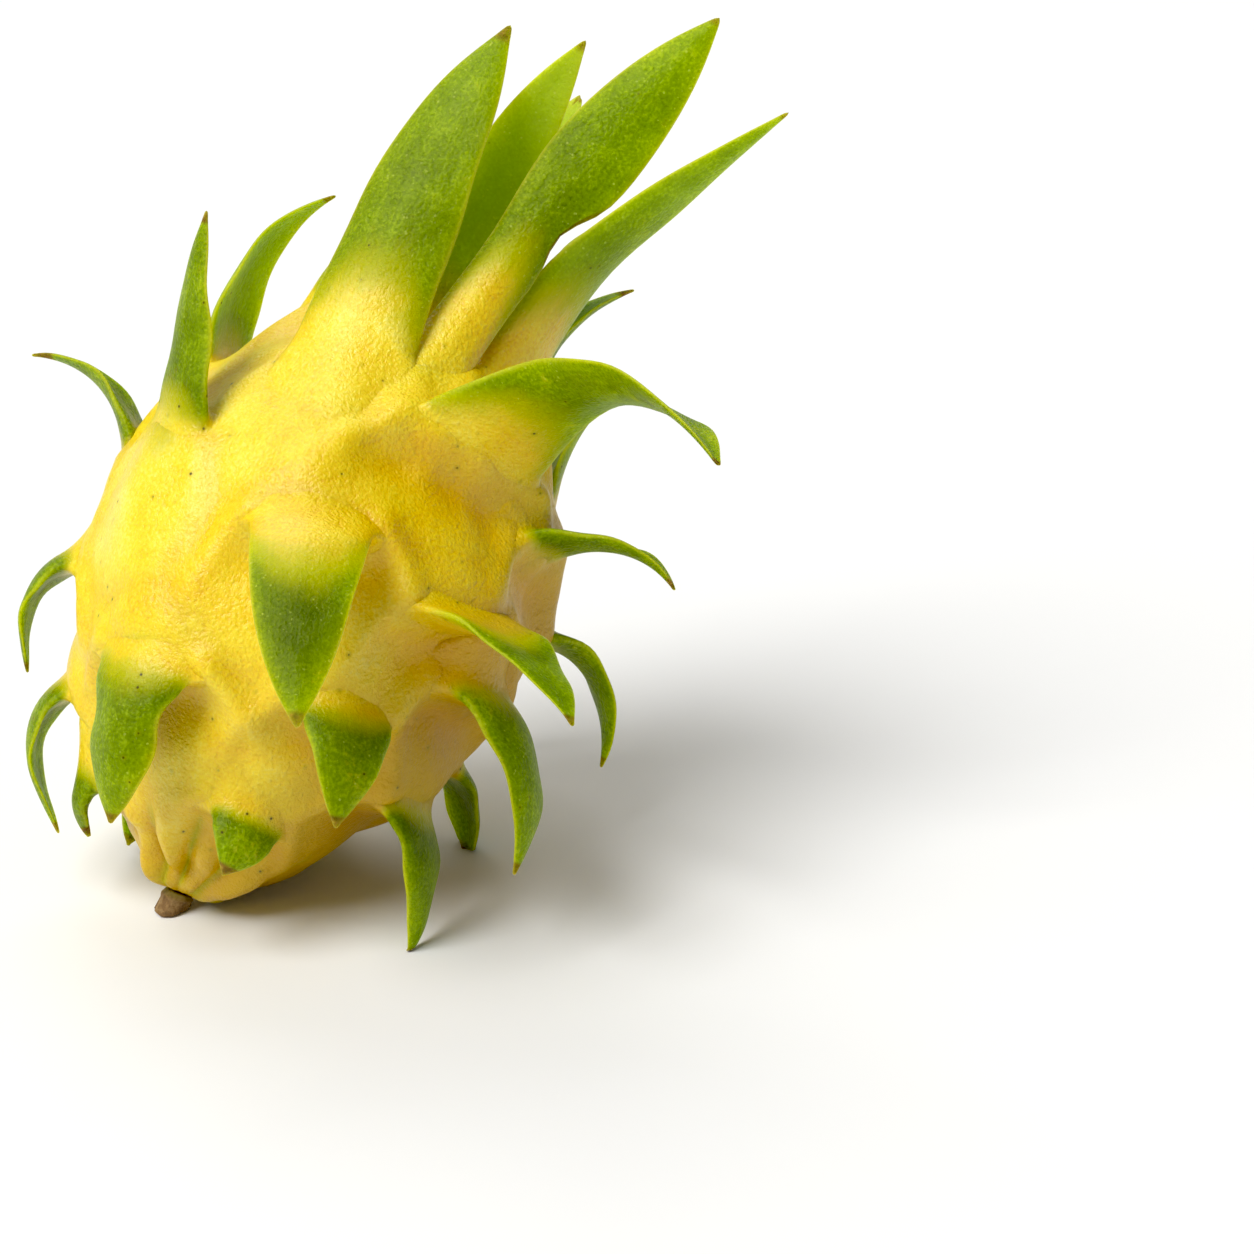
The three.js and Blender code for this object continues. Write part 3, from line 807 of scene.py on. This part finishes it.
def fruit_skin_finish():
    skin_wax = Finish("waxy_dragon_fruit_skin")
    green, dry, hollow = skin_wax.mark("green"), skin_wax.mark("dry"), skin_wax.mark("hollow")
    along, across, blade = skin_wax.mark("along"), skin_wax.mark("across"), skin_wax.mark("blade")
    broad = skin_wax.speckle(30, 3.0, 0.55)
    patchy = skin_wax.speckle(110, 4.0, 0.62)
    grainy = skin_wax.speckle(800, 3.0, 0.6)
    pimples = skin_wax.speckle(1500, 2.0, 0.55)
    veins = skin_wax.speckle(1.0, 3.0, 0.6, at=skin_wax.vector(across * 0.9, along * 0.06, blade))

    yellow = skin_wax.ramp(
        broad * 0.4 + patchy * 0.3 + pimples * 0.3,
        (0.36, tone(228, 178, 8)), (0.46, tone(243, 207, 26)), (0.55, tone(250, 224, 46)),
        (0.66, tone(254, 240, 108)),
    )
    place = {"Vector": skin_wax.place}
    rightward, height = (skin_wax.node("ShaderNodeSeparateXYZ", {}, place, axis) for axis in "XZ")
    # Painted shade: the skin turns a darker, deeper yellow towards the bottom and the right, the side away
    # from the key light.
    painted_shade_low_right = 1 - (height - rightward * 0.85 + (broad - 0.5) * 0.04).step(0.02, 0.09)
    yellow = skin_wax.mix((painted_shade_low_right * 0.95).held(), yellow, tone(194, 154, 0))
    # Painted shade: deeper, darker yellow in the hollows and creases and under drooping scales.
    yellow = skin_wax.mix((hollow * 0.6).held(), yellow, tone(200, 142, 0))
    ripeness = (green + (patchy - 0.5) * 0.3 + (broad - 0.5) * 0.3 + (veins - 0.5) * 0.16 * blade).held()
    leaf = skin_wax.ramp(
        veins * 0.2 + patchy * 0.4 + pimples * 0.4,
        (0.34, tone(80, 100, 0)), (0.5, tone(112, 134, 0)), (0.64, tone(150, 170, 22)),
    )
    # Painted shade darkens the green heart of scales facing away from the light; painted light pales the
    # rear scales that light shines through.
    shade = skin_wax.mark("shade")
    leaf = skin_wax.mix((shade * 0.9).held(), leaf, tone(44, 58, 0))
    leaf = skin_wax.mix((shade * -0.8).held(), leaf, tone(180, 200, 60))
    lime = skin_wax.mix(ripeness.step(0.10, 0.5), yellow, tone(186, 182, 10))
    colour = skin_wax.mix(ripeness.step(0.36, 0.86), lime, leaf)

    # Pale blade margins: partly their own paler colour, partly a painted highlight along the edges.
    margin = (skin_wax.mark("margin").step(0.55, 1.0) * blade * 0.4).held()
    colour = skin_wax.mix(margin, colour, tone(198, 200, 60))
    # Painted sheen: paler bluish-green patches on the scales' green.
    painted_sheen = (skin_wax.speckle(70, 2.0, 0.5).step(0.52, 0.75) * blade * ripeness * 0.15).held()
    colour = skin_wax.mix(painted_sheen, colour, tone(172, 190, 80))

    flecks = (1 - skin_wax.cells(800).step(0.1, 0.3)) * grainy.step(0.48, 0.62)
    colour = skin_wax.mix((flecks * blade * 0.35).held(), colour, tone(206, 214, 110))
    scurf = patchy.step(0.58, 0.72) * grainy.step(0.5, 0.62)
    colour = skin_wax.mix((scurf * 0.2).held(), colour, tone(238, 208, 70))
    spots = skin_wax.cells(210)
    spotty = broad.step(0.44, 0.56)
    colour = skin_wax.mix(((1 - spots.step(0.05, 0.2)) * spotty * 0.35).held(), colour, tone(146, 142, 6))
    colour = skin_wax.mix(((1 - spots.step(0.03, 0.08)) * spotty * 0.9).held(), colour, tone(50, 38, 10))

    dead = (dry + (patchy - 0.5) * 0.5 * dry.step(0.02, 0.3)).step(0.3, 0.75)
    straw = skin_wax.ramp(
        grainy * 0.5 + patchy * 0.5,
        (0.35, tone(58, 38, 18)), (0.55, tone(112, 80, 38)), (0.7, tone(160, 126, 70)),
    )
    colour = skin_wax.mix(dead, colour, straw)

    rough = 0.36 + (grainy - 0.5) * 0.3 + (patchy - 0.5) * 0.2 + dead * 0.4 + blade * ripeness * 0.1
    dimples = skin_wax.bump(pimples, 0.0004, 0.7)
    pebbles = skin_wax.bump(grainy, 0.0006, 0.5, under=dimples)
    ribs = skin_wax.bump(veins * blade, 0.0004, 0.2, under=pebbles)
    waves = skin_wax.bump(patchy, 0.0014, 0.45, under=ribs)
    varying = {"Base Color": colour, "Roughness": rough, "Normal": waves}
    rind = skin_wax.surface({
        "Specular IOR Level": 0.5, "Coat Weight": 0.08, "Coat Roughness": 0.3, "Subsurface Weight": 0.1,
        "Subsurface Scale": 0.003, "Subsurface Radius": (1.0, 0.62, 0.12),
    }, varying)
    leafy = skin_wax.surface({
        "Specular IOR Level": 0.25, "Specular Tint": (1.0, 0.96, 0.6, 1.0), "Subsurface Weight": 0.85,
        "Subsurface Scale": 0.008, "Subsurface Radius": (0.8, 1.0, 0.15),
    }, varying)
    return skin_wax.shown(skin_wax.blend(ripeness.step(0.2, 0.6), rind, leafy))


def cut_stem_finish():
    cork = Finish("corky_cut_stem")
    along, end = cork.mark("along"), cork.mark("end")
    grain = cork.speckle(700, 4.0, 0.65)
    patchy = cork.speckle(260, 3.0, 0.6)
    bark = cork.ramp(
        grain * 0.5 + patchy * 0.5,
        (0.3, tone(66, 48, 26)), (0.5, tone(128, 98, 60)), (0.68, tone(172, 146, 100)),
    )
    green_top = cork.mix((1 - along.step(0.0, 0.35)) * 0.55, bark, tone(126, 126, 34))
    colour = cork.mix(end * 0.8, green_top, tone(186, 150, 104))
    rough, relief = 0.72 + (grain - 0.5) * 0.3, cork.bump(grain, 0.0008, 0.6)
    varying = {"Base Color": colour, "Roughness": rough, "Normal": relief}
    return cork.shown(cork.surface({"Specular IOR Level": 0.3}, varying))


def withered_finish():
    husk = Finish("withered_flower_husk")
    along, end = husk.mark("along"), husk.mark("end")
    fibre = husk.speckle(900, 4.0, 0.7, twist=0.6)
    patchy = husk.speckle(220, 3.0, 0.6)
    colour = husk.ramp(
        fibre * 0.5 + patchy * 0.5,
        (0.32, tone(40, 26, 12)), (0.5, tone(92, 62, 30)), (0.7, tone(150, 116, 66)),
    )
    colour = husk.mix(end * 0.4, colour, tone(120, 92, 44))
    colour = husk.mix((1 - along.step(0.0, 0.3)) * 0.4, colour, tone(120, 116, 40))
    rough, relief = 0.8 + (patchy - 0.5) * 0.2, husk.bump(fibre, 0.0008, 0.7)
    varying = {"Base Color": colour, "Roughness": rough, "Normal": relief}
    return husk.shown(husk.surface({"Specular IOR Level": 0.25}, varying))


blank = tube_blank(BLADE_SIDES, SCALE_RINGS - 1, "scale_blank")
grown = [body_piece()] + [shape_scale(scale, blank) for scale in SCALE_LIST]
throw_away(blank)
fruit_skin = join(grown, "ripe_fruit")
outward(fruit_skin)
finish_piece(fruit_skin, "fruit", fruit_skin_finish(), 1)
finish_piece(stub_piece(), "stem_stub", cut_stem_finish(), 1)
finish_piece(flower_piece(), "dried_flower", withered_finish(), 1)


# The floor, the light and the camera.

def studio_floor():
    deselect_all()
    bpy.ops.mesh.primitive_plane_add(size=9)
    floor = bpy.context.active_object
    floor.name = "studio_floor"
    paint = Finish("pale_floor")
    shade = paint.ramp(paint.speckle(1.4, 2.0, 0.5), (0.3, tone(242, 242, 241)), (0.7, tone(246, 246, 245)))
    matt = paint.surface({"Specular IOR Level": 0.2, "Roughness": 0.7}, {"Base Color": shade})
    floor.data.materials.append(paint.shown(matt))


def soft_sun(name, towards, strength, width):
    """Light that falls everywhere from one side, soft as from a wide window."""
    lamp = bpy.data.lights.new(name, "SUN")
    lamp.energy = strength
    lamp.angle = math.radians(width)
    sun = bpy.data.objects.new(name, lamp)
    bpy.context.scene.collection.objects.link(sun)
    sun.rotation_euler = Vector(towards).to_track_quat("-Z", "Y").to_euler()


def studio_light():
    """An even white room, a soft key from the upper left and a weaker light from behind."""
    world = bpy.data.worlds.new("studio")
    world.use_nodes = True
    room = world.node_tree.nodes["Background"]
    room.inputs["Color"].default_value = (1.0, 0.98, 0.94, 1.0)
    room.inputs["Strength"].default_value = 0.22
    bpy.context.scene.world = world
    soft_sun("key_left", (0.72, 0.62, -1.2), 2.95, 40)
    soft_sun("from_behind", (0.25, -0.8, -0.9), 0.9, 40)
    show = bpy.context.scene.view_settings
    show.view_transform = "Standard"
    show.use_curve_mapping = True
    show.curve_mapping.black_level = (0.012, 0.012, 0.012)
    show.curve_mapping.update()


# The camera's tilt in degrees, its lens in millimetres, how far it stands from what it aims at, and how
# far that is right of the fruit's middle and below it, in metres.
CAMERA_TILT = 20
CAMERA_LENS = 100.5
CAMERA_AWAY = 0.7
AIM_RIGHT = 0.0646
AIM_DOWN = 0.0042


def photo_camera():
    """Looks down at the fruit, which stands left of the middle of the picture as in the photograph."""
    tilt = math.radians(CAMERA_TILT)
    ahead = np.array((0, math.cos(tilt), -math.sin(tilt)))
    right = np.array((1, 0, 0))
    up = np.array((0, math.sin(tilt), math.cos(tilt)))
    centre = fruit_place((0, 0, 62))
    view = bpy.data.cameras.new("photo_view")
    view.sensor_width = 36
    view.lens = CAMERA_LENS
    view.clip_end = 20
    camera = bpy.data.objects.new("photo_view", view)
    bpy.context.scene.collection.objects.link(camera)
    camera.location = centre + AIM_RIGHT * right - AIM_DOWN * up - CAMERA_AWAY * ahead
    camera.rotation_euler = (math.radians(90) - tilt, 0, 0)
    bpy.context.scene.camera = camera


studio_floor()
studio_light()
photo_camera()
